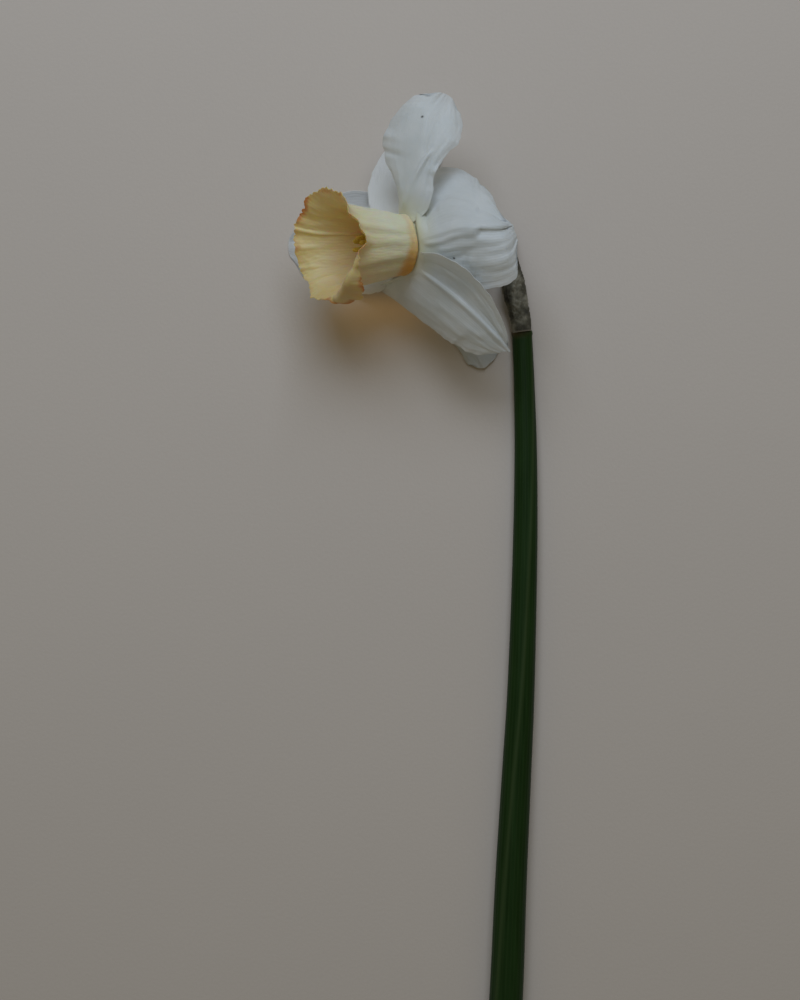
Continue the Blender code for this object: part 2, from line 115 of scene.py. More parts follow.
# Flower stalk and its papery sheath
PEDICEL_LINE = ((39.2, 54.6, 3.2), (38.5, 59.5, 3.3), (37.2, 65.0, 3.5), (35.4, 71.0, 3.8),
                (34.5, 76.4, 4.6), (34.1, 80.2, 6.2))
PEDICEL_RADII = (1.7, 1.53, 1.53, 1.53, 1.53, 1.53, 1.56, 1.61)
SPATHE_LINE = ((39.2, 54.0, 3.3), (38.5, 59.5, 3.5), (37.2, 65.0, 3.7), (35.5, 71.0, 4.0),
               (34.3, 77.0, 4.3), (33.5, 82.0, 4.2), (32.8, 87.5, 3.6))
SPATHE_RADII = (2.75, 2.85, 3.25, 3.5, 3.4, 3.1, 2.6)
SPATHE_START = (-182.0, -180.0, -160.0, -145.0, -105.0, -75.0, -30.0)
SPATHE_END = (190.0, 186.0, 168.0, 140.0, 78.0, 56.0, 24.0)
SPATHE_ROWS, SPATHE_COLUMNS = 190, 150
SPATHE_THICKNESS = 0.16
SPATHE_VEINS = 34

# Petals. foot: angle round the ring from its upper side. path: the midrib after the foot.
# face: direction the inner face looks in, at the foot, the middle and the tip.
# left, right: half widths at STATIONS, and sweep: how far that edge is drawn back there.
# fold: degrees that each half is raised by, and how much more at its edge; droops: the folds go
# straight down and not square to the midrib; flat_tip: share of the right fold that the tip loses.
# lines: creases, each from (place, side) to (place, side) with its height and its width.
# tip: share of the width that is left at the tip, and how far its corners are drawn back.
# Lighter white (the key after seed): how much lighter its white is painted, painted light
# where light falls on the petal. specks: places of grains of dirt, along and across.
# ruffle: height of the waves along the edges and their number. wrinkle: height of the crumpling.
STATIONS = (0.0, 0.1, 0.22, 0.36, 0.5, 0.64, 0.78, 0.9, 1.0)
NO_SWEEP = (0.0,) * len(STATIONS)
PETALS = {
    "tepal_outer_1": dict(
        foot=1.0, outer=True, seed=3,
        path=((12.2, 81.8, 36.2), (18.2, 83.0, 40.6), (24.2, 82.8, 43.0), (30.0, 82.6, 43.0),
              (34.2, 83.6, 41.2)),
        face=((-0.6, 0.0, 0.8), (-0.35, 0.0, 0.93), (0.25, 0.0, 0.97)),
        left=(4.6, 24.0, 31.0, 31.0, 25.4, 19.6, 13.6, 7.6, 3.4),
        right=(4.6, 13.0, 18.0, 20.0, 20.8, 20.2, 18.4, 15.4, 9.6),
        sweep_right=(0.0, 0.0, 0.0, 0.0, 0.0, 1.0, 1.2, 0.2, -2.4),
        fold_left=(-35.0, -9.0), fold_right=(-12.0, -17.0), tip=(0.85, 3.4), droops=True,
        flat_tip=0.8,
        lines=((0.02, 0.16, 0.62, 0.06, 0.6, 1.5), (0.55, 0.06, 1.0, 0.0, -1.0, 1.7),
               (0.5, 0.5, 0.9, 0.55, 0.5, 3.0), (0.1, 0.55, 0.5, 0.4, -0.3, 1.5),
               (0.15, 0.3, 0.6, 0.25, 0.25, 1.2), (0.2, -0.35, 0.6, -0.3, 0.3, 2.5)),
        ruffle=(0.25, 4.0), wrinkle=0.35, mucro=0.4, specks=((0.30, 0.45),)),
    "tepal_inner_1": dict(
        foot=79.0, outer=False, seed=5,
        path=((3.6, 96.0, 28.2), (6.0, 103.5, 29.8), (8.8, 112.0, 30.2), (11.8, 120.0, 29.2),
              (14.6, 126.0, 27.4)),
        face=((-0.7, -0.1, 0.7), (-0.35, 0.0, 0.93), (0.1, 0.1, 0.98)),
        left=(5.0, 5.6, 8.4, 13.2, 15.4, 14.4, 11.6, 8.4, 5.4),
        right=(4.6, 6.8, 7.0, 5.4, 6.6, 9.2, 8.8, 6.8, 4.6),
        fold_left=(0.0, -10.0), fold_right=(0.0, -12.0), tip=(0.9, 3.0),
        lines=((0.03, -0.35, 0.55, 0.35, 0.8, 1.6), (0.45, 0.1, 0.98, 0.0, -0.3, 2.0),
               (0.42, -0.6, 0.85, -0.5, 0.4, 2.8), (0.3, 0.1, 0.8, -0.25, 0.2, 1.6)),
        ruffle=(0.35, 5.0), wrinkle=0.28, mucro=0.0, specks=((0.73, -0.33),)),
    "tepal_inner_2": dict(
        foot=-56.0, outer=False, seed=8,
        path=((10.2, 68.4, 31.0), (17.2, 62.6, 33.0), (23.6, 56.9, 33.4), (29.0, 51.6, 32.2),
              (33.2, 47.0, 30.2)),
        face=((-0.6, -0.3, 0.74), (-0.25, -0.25, 0.93), (0.05, -0.15, 0.98)),
        left=(4.6, 8.0, 11.6, 12.2, 10.4, 7.6, 5.0, 2.9, 1.3),
        right=(5.0, 21.5, 21.0, 18.8, 16.9, 14.9, 12.5, 9.6, 6.2),
        sweep_right=(0.0, 23.0, 11.5, 3.2, 0.6, 0.0, 0.0, 0.0, 0.0),
        fold_left=(9.0, 16.0), fold_right=(-12.0, -16.0), tip=(0.85, 1.5),
        lines=((0.04, 0.0, 0.98, 0.0, 0.55, 1.0), (0.3, 0.35, 0.8, 0.3, 0.3, 2.0),
               (0.2, 0.6, 0.7, 0.6, 0.25, 2.2), (0.2, -0.5, 0.9, -0.45, 0.3, 2.0)),
        ruffle=(0.15, 3.0), wrinkle=0.25, mucro=1.5),
    "tepal_outer_2": dict(
        # painted light: this petal's white is painted lighter where light falls on it
        foot=130.0, outer=True, seed=13, painted_light=0.7,
        path=((0.4, 93.4, 10.8), (2.4, 100.5, 5.6), (5.0, 107.0, 2.2), (7.4, 112.5, 1.2),
              (9.4, 117.0, 1.0)),
        face=((-0.6, 0.35, 0.7), (-0.15, 0.35, 0.92), (0.0, 0.05, 1.0)),
        left=(4.8, 8.0, 10.8, 12.2, 12.0, 11.0, 9.5, 6.5, 2.0),
        right=(4.8, 6.0, 6.6, 6.6, 6.4, 6.6, 6.4, 5.0, 2.0),
        fold_left=(8.0, 6.0), fold_right=(0.0, -10.0), tip=(0.5, 1.0),
        lines=((0.04, 0.0, 0.9, 0.0, 0.5, 1.1),),
        ruffle=(0.2, 3.0), wrinkle=0.2, mucro=0.8),
    "tepal_inner_3": dict(
        # painted light: this petal's white is painted lighter where light falls on it
        foot=187.0, outer=False, seed=21, painted_light=1.0,
        path=((-6.0, 78.2, 8.2), (-11.5, 79.2, 3.6), (-18.0, 80.8, 1.4), (-27.0, 81.8, 0.5),
              (-36.0, 82.0, 0.4)),
        face=((-0.85, -0.1, 0.5), (-0.35, 0.0, 0.93), (0.0, 0.0, 1.0)),
        left=(4.8, 8.0, 11.5, 13.0, 13.4, 13.0, 11.8, 9.5, 6.4),
        right=(4.6, 5.6, 8.0, 16.5, 20.5, 19.0, 14.5, 10.5, 6.4),
        sweep_right=(0.0, 0.0, 0.0, 3.0, 1.0, 0.0, 0.0, 0.0, 0.0),
        fold_left=(-4.0, 0.0), fold_right=(-10.0, -4.0), tip=(0.9, 3.0),
        lines=((0.3, 0.0, 0.96, 0.0, 0.4, 1.1),),
        ruffle=(0.2, 3.0), wrinkle=0.15, mucro=0.0),
    "tepal_outer_3": dict(
        foot=245.0, outer=True, seed=34,
        path=((7.0, 67.0, 13.0), (13.4, 61.4, 7.8), (19.2, 55.0, 4.2), (23.8, 48.6, 2.0),
              (27.2, 42.9, 1.2)),
        face=((-0.45, -0.5, 0.7), (-0.3, -0.45, 0.84), (0.0, -0.1, 1.0)),
        left=(4.8, 7.0, 9.0, 9.5, 9.5, 9.4, 9.6, 9.6, 8.6),
        right=(4.8, 5.5, 6.5, 6.6, 6.0, 5.2, 4.6, 4.4, 3.6),
        fold_left=(0.0, -10.0), fold_right=(0.0, -8.0), tip=(0.85, 2.8),
        lines=((0.04, 0.0, 0.9, 0.0, 0.4, 1.1),),
        ruffle=(0.2, 3.0), wrinkle=0.2, mucro=0.4),
}
PETAL_ROWS, PETAL_COLUMNS = 150, 111
PETAL_THICKNESS = 0.42
PETAL_VEINS = 22                    # on each half
CUP_VEINS = 42
TIP_ROUNDING = 0.88                 # from here on the outline rounds off
FOOT_SPREAD = 33.0                  # half angle of the ring that each foot covers
FOOT_RADIUS = 8.5
FOOT_BLEND = 0.13
SPECK_RADIUS = 0.3

# Stage, in metres: the lights' places and targets, sizes, watts and colours
FLOOR_HALF_SIZE = 3.0
FLOOR_GAP = 0.00005
WINDOW = dict(place=(-0.03, 0.66, 0.72), target=(0.0, 0.05, 0.0), size=(0.7, 0.5), watts=4.15,
              colour=(0.76, 0.86, 1.0))
UNDER_CUP = (-6.0, 63.0, 9.0)       # in the layout
UNDER_CUP_AIM = (0.0, -14.0, -10.0)
GLOW = dict(size=(0.03, 0.01), watts=0.0003, colour=(1.0, 0.52, 0.09))
ROOM_COLOUR, ROOM_STRENGTH = (1.0, 0.87, 0.57, 1.0), 0.14


# Curves and noise -----------------------------------------------------------------------------

def smooth_value(values, place):
    """Catmull-Rom through equally spaced numbers or vectors, place from 0 to 1."""
    values = np.asarray(values, float)
    span = min(max(place, 0.0), 1.0) * (len(values) - 1)
    i = min(int(span), len(values) - 2)
    f = span - i
    p1, p2 = values[i], values[i + 1]
    p0 = values[i - 1] if i > 0 else 2 * p1 - p2
    p3 = values[i + 2] if i + 2 < len(values) else 2 * p2 - p1
    return 0.5 * (2 * p1 + (p2 - p0) * f + (2 * p0 - 5 * p1 + 4 * p2 - p3) * f * f
                  + (3 * p1 - p0 - 3 * p2 + p3) * f ** 3)


def smooth_round(values, turn):
    """Catmull-Rom round a closed list, turn from 0 to 1."""
    count = len(values)
    span = (turn % 1.0) * count
    i = int(span) % count
    f = span - int(span)
    p0, p1, p2, p3 = (values[(i + k) % count] for k in (-1, 0, 1, 2))
    return 0.5 * (2 * p1 + (p2 - p0) * f + (2 * p0 - 5 * p1 + 4 * p2 - p3) * f * f
                  + (3 * p1 - p0 - 3 * p2 + p3) * f ** 3)


def station_value(values, place):
    """Smooth reading of a list that is stated at STATIONS."""
    last = len(STATIONS) - 2
    i = next((k for k in range(last) if place <= STATIONS[k + 1]), last)
    inside = (place - STATIONS[i]) / (STATIONS[i + 1] - STATIONS[i])
    return float(smooth_value(values, (i + inside) / (last + 1)))


def ease(low, high, value):
    """0 below low, 1 above high, smooth between."""
    t = np.clip((value - low) / (high - low), 0.0, 1.0)
    return t * t * (3 - 2 * t)


def unit(vectors):
    return vectors / np.maximum(np.linalg.norm(vectors, axis=-1, keepdims=True), 1e-9)


def rough(points, scale, seed, octaves=3):
    """Fractal noise at each point of a grid, about -1 to 1."""
    flat = np.asarray(points).reshape(-1, 3) * scale + seed * 7.31
    values = [noise.fractal(Vector(p), 1.0, 2.0, octaves) for p in flat]
    return np.array(values).reshape(np.asarray(points).shape[:-1])


def line_frames(line, places, facing):
    """Points, directions, sides and ups along a smooth line; facing gives each one's up."""
    step = 0.01
    here = np.array([smooth_value(line, p) for p in places])
    ahead = np.array([smooth_value(line, min(p + step, 1.0)) for p in places])
    behind = np.array([smooth_value(line, max(p - step, 0.0)) for p in places])
    along = unit(ahead - behind)
    side = unit(np.cross(along, facing))
    return here, along, side, np.cross(side, along)


def head_frame():
    """The head's own frame: X is its upper side, Y its side away from the stem, Z its axis."""
    tilt, swing = math.radians(HEAD_TILT), math.radians(HEAD_SWING)
    axis = Vector((-math.cos(tilt) * math.cos(swing), -math.cos(tilt) * math.sin(swing),
                   math.sin(tilt)))
    side = Vector((-math.sin(swing), math.cos(swing), 0.0))
    up = side.cross(axis)
    return Matrix.Translation(Vector(HEAD_PLACE)) @ Matrix((up, side, axis)).transposed().to_4x4()


HEAD = head_frame()
HEAD_TURN = np.array(HEAD.to_3x3())


def in_head(points):
    """Points of the head's own frame, in the layout."""
    return np.asarray(points) @ HEAD_TURN.T + np.array(HEAD_PLACE)


def ring_point(angle, radius, reach):
    a = math.radians(angle)
    return in_head((radius * math.cos(a), radius * math.sin(a), reach))


# Meshes ---------------------------------------------------------------------------------------

def grid_faces(rows, columns, closed, start=0, flip=False):
    faces = []
    for r in range(rows - 1):
        for c in range(columns if closed else columns - 1):
            d = (c + 1) % columns
            near, far = start + r * columns, start + (r + 1) * columns
            quad = (near + c, near + d, far + d, far + c)
            faces.append(quad[::-1] if flip else quad)
    return faces


def edge_loop(rows, columns):
    """Places of the outline of a grid, in order."""
    return ([(r, 0) for r in range(rows)] + [(rows - 1, c) for c in range(1, columns)]
            + [(r, columns - 1) for r in range(rows - 2, -1, -1)]
            + [(0, c) for c in range(columns - 2, 0, -1)])


def grid_normals(grid, closed):
    along = np.gradient(grid, axis=0)
    if closed:
        across = np.roll(grid, -1, axis=1) - np.roll(grid, 1, axis=1)
    else:
        across = np.gradient(grid, axis=1)
    return unit(np.cross(across, along))


def add_piece(name, points, faces, material, nodes, values=None):
    """Object of these points (millimetres, layout) that stands for the CAD nodes."""
    mesh = bpy.data.meshes.new(name)
    places = np.asarray(points).reshape(-1, 3) * MM + SHIFT
    mesh.from_pydata(places.tolist(), [], faces)
    for key, numbers in (values or {}).items():
        layer = mesh.attributes.new(key, "FLOAT", "POINT")
        layer.data.foreach_set("value", np.asarray(numbers, np.float32).ravel())
    clean = bmesh.new()
    clean.from_mesh(mesh)
    bmesh.ops.recalc_face_normals(clean, faces=clean.faces)
    clean.to_mesh(mesh)
    clean.free()
    mesh.shade_smooth()
    mesh.materials.append(material)
    piece = bpy.data.objects.new(name, mesh)
    bpy.context.scene.collection.objects.link(piece)
    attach(piece, "root")
    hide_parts(*nodes)
    return piece


def skin(name, grid, thickness, material, nodes, values=None, closed=False, floor=None):
    """Thin skin round a grid of points, as thick as thickness says, closed along its edges."""
    rows, columns = grid.shape[:2]
    normal = grid_normals(grid, closed)
    half = (np.ones((rows, columns)) * thickness)[..., None] / 2
    front, back = grid + normal * half, grid - normal * half
    if floor is not None:
        swap = (front[..., 2] < back[..., 2])[..., None]
        high, low = np.where(swap, back, front), np.where(swap, front, back)
        low[..., 2] = np.maximum(low[..., 2], floor)
        high[..., 2] = np.maximum(high[..., 2], low[..., 2] + half[..., 0])
        front, back = np.where(swap, low, high), np.where(swap, high, low)
    count = rows * columns
    faces = grid_faces(rows, columns, closed) + grid_faces(rows, columns, closed, count, True)
    if closed:
        for r in (0, rows - 1):
            for c in range(columns):
                a, b = r * columns + c, r * columns + (c + 1) % columns
                faces.append((a, b, b + count, a + count))
    else:
        loop = [r * columns + c for r, c in edge_loop(rows, columns)]
        for a, b in zip(loop, loop[1:] + loop[:1]):
            faces.append((a, b, b + count, a + count))
    points = np.concatenate([front.reshape(-1, 3), back.reshape(-1, 3)])
    both = {key: np.tile(np.asarray(v, float).ravel(), 2) for key, v in (values or {}).items()}
    both["front"] = np.repeat([1.0, 0.0], count)
    return add_piece(name, points, faces, material, nodes, both)


def solid(name, rings, material, nodes, values=None):
    """Closed solid through rings of points, closed by a fan at each end."""
    rows, columns = rings.shape[:2]
    faces = grid_faces(rows, columns, True)
    points = np.concatenate([rings.reshape(-1, 3), rings[:1].mean(1), rings[-1:].mean(1)])
    foot, top = rows * columns, rows * columns + 1
    for c in range(columns):
        d = (c + 1) % columns
        faces.append((foot, d, c))
        faces.append((top, (rows - 1) * columns + c, (rows - 1) * columns + d))
    full = {}
    for key, v in (values or {}).items():
        v = np.asarray(v, float)
        full[key] = np.concatenate([v.ravel(), [v[0].mean(), v[-1].mean()]])
    return add_piece(name, points, faces, material, nodes, full)


def turned_rings(profile, sides, stations, shape=None):
    """Rings round the Z axis from pairs of radius and height; shape changes each radius."""
    profile = np.asarray(profile, float)
    rings = []
    for i in range(stations):
        radius, height = smooth_value(profile, i / (stations - 1))
        angles = np.arange(sides) * 2 * math.pi / sides
        r = radius * (shape(angles, i / (stations - 1)) if shape else 1.0)
        rings.append(np.stack([r * np.cos(angles), r * np.sin(angles),
                               np.full(sides, height)], axis=1))
    return np.array(rings)


# Materials ------------------------------------------------------------------------------------

class Shader:
    """A Principled material and short calls for the nodes that feed it."""

    def __init__(self, name, colour, roughness, **uniform):
        self.material = bpy.data.materials.new(name)
        self.material.use_nodes = True
        self.nodes = self.material.node_tree.nodes
        self.links = self.material.node_tree.links
        self.main = self.nodes["Principled BSDF"]
        self.main.inputs["Base Color"].default_value = (*colour, 1.0)
        self.main.inputs["Roughness"].default_value = roughness
        for key, value in uniform.items():
            self.main.inputs[key.replace("_", " ")].default_value = value
        self.place = self.nodes.new("ShaderNodeTexCoord").outputs["Object"]

    def link(self, source, target):
        if hasattr(source, "links"):
            self.links.new(source, target)
        else:
            target.default_value = source

    def attribute(self, name):
        node = self.nodes.new("ShaderNodeAttribute")
        node.attribute_name = name
        return node.outputs["Fac"]

    def maths(self, operation, first, second=0.0):
        node = self.nodes.new("ShaderNodeMath")
        node.operation = operation
        self.link(first, node.inputs[0])
        self.link(second, node.inputs[1])
        return node.outputs[0]

    def noise(self, scale, detail=3.0, stretch=None):
        source = self.place
        if stretch is not None:
            node = self.nodes.new("ShaderNodeMapping")
            node.inputs["Scale"].default_value = stretch
            self.link(source, node.inputs["Vector"])
            source = node.outputs["Vector"]
        node = self.nodes.new("ShaderNodeTexNoise")
        node.inputs["Scale"].default_value = scale
        node.inputs["Detail"].default_value = detail
        self.link(source, node.inputs["Vector"])
        return node.outputs["Fac"]

    def ramp(self, source, *stops):
        """Smooth steps of value or colour, from pairs of position and value or colour."""
        node = self.nodes.new("ShaderNodeValToRGB")
        elements = node.color_ramp.elements
        while len(elements) < len(stops):
            elements.new(0.5)
        for element, (position, value) in zip(elements, stops):
            element.position = position
            colour = value if isinstance(value, tuple) else (value,) * 3
            element.color = (*colour, 1.0)
        self.link(source, node.inputs["Fac"])
        return node.outputs["Color"]

    def mix(self, factor, first, second):
        node = self.nodes.new("ShaderNodeMix")
        node.data_type = "RGBA"
        self.link(factor, node.inputs["Factor"])
        for value, socket in ((first, node.inputs["A"]), (second, node.inputs["B"])):
            self.link((*value, 1.0) if isinstance(value, tuple) else value, socket)
        return node.outputs["Result"]

    def bump(self, height, distance, strength=1.0, before=None):
        node = self.nodes.new("ShaderNodeBump")
        node.inputs["Distance"].default_value = distance
        node.inputs["Strength"].default_value = strength
        self.link(height, node.inputs["Height"])
        if before is not None:
            self.link(before, node.inputs["Normal"])
        return node.outputs["Normal"]

    def set(self, socket, source):
        self.link(source, self.main.inputs[socket])


def petal_material():
    """White petal tissue: fine lengthwise veins, a green-yellow foot, grains of dirt."""
    s = Shader("petal", (0.76, 0.80, 0.80), 0.5, Sheen_Weight=0.1, Subsurface_Weight=0.6,
               Subsurface_Scale=0.002)
    s.main.inputs["Subsurface Radius"].default_value = (1.0, 0.95, 0.85)
    wander = s.maths("MULTIPLY", s.noise(260.0, 2.0), 3.0)
    phase = s.maths("ADD", s.maths("MULTIPLY", s.attribute("across"), PETAL_VEINS * math.pi), wander)
    veins = s.maths("POWER", s.maths("ABSOLUTE", s.maths("SINE", phase)), 0.6)
    mottle = s.noise(110.0, 4.0)
    white = s.mix(s.ramp(mottle, (0.35, 0.0), (0.65, 1.0)), (0.63, 0.69, 0.71), (0.70, 0.75, 0.765))
    # painted light: the chosen petals' white is painted lighter, for light that falls on them
    white = s.mix(s.attribute("painted_light"), white, (0.88, 0.90, 0.89))
    veined = s.mix(s.ramp(veins, (0.0, 0.22), (0.5, 0.0)), white, (0.63, 0.67, 0.68))
    foot = s.ramp(s.attribute("along"), (0.0, 0.9), (0.06, 0.4), (0.20, 0.0))
    clean = s.mix(foot, veined, (0.72, 0.72, 0.44))
    dirty = s.maths("MINIMUM", s.maths("MULTIPLY", s.attribute("dirt"), 1.8), 1.0)
    s.set("Base Color", s.mix(dirty, clean, (0.02, 0.02, 0.02)))
    fine = s.bump(veins, 0.00006, 0.5)
    s.set("Normal", s.bump(s.noise(900.0, 4.0), 0.00006, 0.35, fine))
    s.set("Roughness", s.ramp(mottle, (0.3, 0.42), (0.8, 0.58)))
    return s.material


def cup_material():
    """Cup tissue: creamy yellow, amber within, orange round its foot and brown in spots on its rim."""
    s = Shader("cup", (0.75, 0.60, 0.28), 0.5, Sheen_Weight=0.1, Subsurface_Weight=0.7,
               Subsurface_Scale=0.0015)
    s.main.inputs["Subsurface Radius"].default_value = (1.0, 0.55, 0.12)
    along = s.attribute("along")
    outside = s.ramp(along, (0.0, (0.80, 0.79, 0.57)), (0.35, (0.84, 0.82, 0.65)),
                     (0.7, (0.82, 0.74, 0.50)), (1.0, (0.80, 0.58, 0.28)))
    # painted shade: the outside is darkened and warmed towards the cup's lower side, away from the
    # light
    outside = s.mix(s.maths("MULTIPLY", s.attribute("shaded_side"), 0.45), outside, (0.76, 0.58, 0.22))
    inside = s.ramp(along, (0.0, (0.84, 0.62, 0.26)), (0.3, (0.90, 0.76, 0.47)),
                    (0.75, (0.86, 0.71, 0.42)), (1.0, (0.80, 0.59, 0.27)))
    # painted shade: the inside is darkened towards the lower side, and the upper inside is left light
    # as painted light that comes through the thin wall
    inside = s.mix(s.maths("MULTIPLY", s.attribute("shaded_side"), 0.9), inside, (0.68, 0.49, 0.21))
    body = s.mix(s.attribute("front"), inside, outside)
    mottle = s.noise(120.0, 3.0)
    body = s.mix(s.ramp(mottle, (0.35, 0.0), (0.7, 0.3)), body, (0.84, 0.74, 0.46))
    phase = s.maths("ADD", s.maths("MULTIPLY", s.attribute("turn"), 2 * math.pi * CUP_VEINS),
                    s.maths("MULTIPLY", s.noise(150.0, 2.0), 6.0))
    veins = s.maths("ABSOLUTE", s.maths("SINE", phase))
    body = s.mix(s.ramp(veins, (0.0, 0.12), (0.4, 0.0)), body, (0.60, 0.42, 0.14))
    ringed = s.mix(s.attribute("ring"), body, (0.76, 0.35, 0.012))
    spotted = s.mix(s.attribute("spots"), ringed, (0.50, 0.17, 0.03))
    s.set("Base Color", spotted)
    fine = s.bump(veins, 0.00006, 0.4)
    s.set("Normal", s.bump(s.noise(700.0, 4.0), 0.00008, 0.4, fine))
    return s.material


def fleshy_material(name, dark, light, roughness):
    """Fleshy tissue, mottled between two tones."""
    s = Shader(name, dark, roughness, Coat_Weight=0.05)
    streaks = s.noise(1.0, 3.0, (900.0, 900.0, 120.0))
    s.set("Base Color", s.mix(s.ramp(streaks, (0.35, 0.0), (0.7, 1.0)), dark, light))
    s.set("Normal", s.bump(s.noise(1500.0, 3.0), 0.00008, 0.4))
    return s.material


def stem_material():
    """Dark green stem: lighter along its ribs and keels, pale where it is cut."""
    s = Shader("stem", (0.02, 0.05, 0.012), 0.42, Specular_IOR_Level=0.2)
    streaks = s.noise(1.0, 4.0, (900.0, 45.0, 900.0))
    green = s.mix(s.ramp(streaks, (0.3, 0.0), (0.75, 1.0)), (0.006, 0.026, 0.003),
                  (0.012, 0.042, 0.006))
    ribbed = s.mix(s.maths("MULTIPLY", s.attribute("rib"), 0.4), green, (0.022, 0.050, 0.012))
    # the keels are painted lighter: partly their own paler green, partly a painted highlight along
    # their edges
    keels_toned_and_highlit = s.mix(s.attribute("keel"), ribbed, (0.045, 0.075, 0.025))
    topped = s.mix(s.attribute("collar"), keels_toned_and_highlit, (0.10, 0.06, 0.03))
    s.set("Base Color", s.mix(s.attribute("cut"), topped, (0.42, 0.50, 0.22)))
    s.set("Normal", s.bump(s.noise(1400.0, 4.0), 0.00006, 0.5))
    s.set("Roughness", s.ramp(streaks, (0.2, 0.36), (0.8, 0.55)))
    return s.material


def spathe_material():
    """Dry papery sheath: grey-brown with dark patches, pale veins and edges."""
    s = Shader("spathe", (0.10, 0.085, 0.055), 0.75)
    patches = s.noise(260.0, 5.0)
    base = s.ramp(patches, (0.32, (0.018, 0.016, 0.010)), (0.5, (0.110, 0.105, 0.075)),
                  (0.68, (0.310, 0.295, 0.235)))
    phase = s.maths("ADD", s.maths("MULTIPLY", s.attribute("across"), SPATHE_VEINS * math.pi),
                    s.maths("MULTIPLY", patches, 3.0))
    veins = s.maths("ABSOLUTE", s.maths("SINE", phase))
    base = s.mix(s.ramp(veins, (0.0, 0.5), (0.35, 0.0)), base, (0.19, 0.17, 0.13))
    base = s.mix(s.attribute("edge"), base, (0.30, 0.27, 0.21))
    s.set("Base Color", base)
    crinkle = s.bump(s.noise(700.0, 6.0), 0.0005, 0.7)
    s.set("Normal", s.bump(veins, 0.0002, 0.6, crinkle))
    return s.material


def anther_material():
    """Powdery yellow pollen."""
    s = Shader("anther", (0.62, 0.38, 0.04), 0.85, Sheen_Weight=0.3)
    pollen = s.noise(3500.0, 3.0)
    s.set("Base Color", s.ramp(pollen, (0.35, (0.62, 0.38, 0.02)), (0.65, (0.90, 0.64, 0.08))))
    s.set("Normal", s.bump(pollen, 0.00025, 0.9))
    return s.material


def floor_material():
    """Pale warm paper with a faint grain."""
    s = Shader("paper_floor", (0.5, 0.5, 0.5), 0.9)
    fibre = s.noise(900.0, 4.0)
    cloud = s.noise(9.0, 3.0)
    tone = s.mix(cloud, (0.67, 0.61, 0.56), (0.71, 0.645, 0.59))
    s.set("Base Color", s.mix(s.maths("MULTIPLY", fibre, 0.08), tone, (0.50, 0.45, 0.41)))
    s.set("Normal", s.bump(fibre, 0.0002, 0.25))
    return s.material


# Petals ---------------------------------------------------------------------------------------

def petal_surface(spec):
    """Middle surface of a petal as a grid: points, places along and across, and reach from the rib."""
    setback = -OUTER_STEP if spec["outer"] else -INNER_STEP
    line = [ring_point(spec["foot"], RING_RADIUS, setback)] + list(spec["path"])
    places = 1 - (1 - np.linspace(0.0, 1.0, PETAL_ROWS)) ** 1.25
    across = np.sin(np.linspace(-1.0, 1.0, PETAL_COLUMNS) * math.pi / 2 * 0.86)
    across = across / across[-1]
    facing = np.array([smooth_value([unit(np.array(f)) for f in spec["face"]], p) for p in places])
    here, along, right, face = line_frames(line, places, facing)
    grid = np.zeros((PETAL_ROWS, PETAL_COLUMNS, 3))
    reach_grid = np.zeros((PETAL_ROWS, PETAL_COLUMNS))
    for r, place in enumerate(places):
        past = max(0.0, place - TIP_ROUNDING) / (1 - TIP_ROUNDING)
        left_over, drawn_back = spec["tip"]
        rounding = 1 - (1 - left_over) * past ** 2.2
        for side in ("left", "right"):
            half = across < 0 if side == "left" else across >= 0
            w = np.abs(across[half])
            reach = w * station_value(spec[side], place) * rounding
            start, grow = spec["fold_" + side]
            opening = min(1.0, place / 0.1)
            if side == "right":
                opening *= 1 - spec.get("flat_tip", 0.0) * ease(0.55, 1.0, place)
            raised = np.radians((start + grow * w) * opening)
            sweep = station_value(spec.get("sweep_" + side, NO_SWEEP), place) * w
            sweep = sweep + drawn_back * past ** 1.5 * w ** 3
            rise = UP if spec.get("droops") else face[r]
            offset = (right[r] * (np.sign(across[half]) * reach * np.cos(raised))[:, None]
                      + rise * (reach * np.sin(raised))[:, None]
                      - along[r] * sweep[:, None])
            grid[r, half] = here[r] + offset
            reach_grid[r, half] = reach
    angles = np.radians(spec["foot"] - across * FOOT_SPREAD)
    foot = in_head(np.stack([FOOT_RADIUS * np.cos(angles), FOOT_RADIUS * np.sin(angles),
                             np.full(PETAL_COLUMNS, setback)], axis=1))
    hold = np.clip(1 - places / FOOT_BLEND, 0.0, 1.0) ** 2
    grid = grid + hold[:, None, None] * (foot - grid[0])[None]
    along_grid = np.repeat(places[:, None], PETAL_COLUMNS, axis=1)
    across_grid = np.repeat(across[None, :], PETAL_ROWS, axis=0)
    return grid, along_grid, across_grid, reach_grid


def petal_relief(spec, along, across, reach):
    """Height over the middle surface: creases, ruffled edges and wrinkles."""
    height = np.zeros(along.shape)
    for p0, w0, p1, w1, rise, width in spec["lines"]:
        share = (along - p0) / (p1 - p0)
        away = (across - (w0 + (w1 - w0) * share)) * np.maximum(reach.max(axis=1), 1.0)[:, None]
        fade = ease(0.0, 0.15, share) * (1 - ease(0.85, 1.0, share))
        height += rise * np.exp(-(away / width) ** 2) * fade
    waves, count = spec["ruffle"]
    seed = spec["seed"]
    edge = np.abs(across) ** 3 * ease(0.15, 0.5, along)
    flat = np.stack([along * 42.0, across * reach.max() * 0.9, np.zeros(along.shape)], axis=-1)
    uneven = 0.6 + 1.2 * rough(flat * np.array([1.0, 0.0, 0.0]) + np.sign(across)[..., None], 0.12,
                               seed + 3, 2)
    phase = along * count * 2 * math.pi + np.sign(across) * seed + 2.0 * uneven
    height += waves * edge * uneven * (np.sin(phase) + 0.5 * np.sin(phase * 2.3 + seed))
    long_grain = flat * np.array([0.30, 1.0, 1.0])
    grown = ease(0.03, 0.25, along)
    height += spec["wrinkle"] * rough(long_grain, 0.22, seed, 2) * grown
    height += spec["wrinkle"] * 0.16 * rough(long_grain, 0.75, seed + 1, 2) * grown
    return height


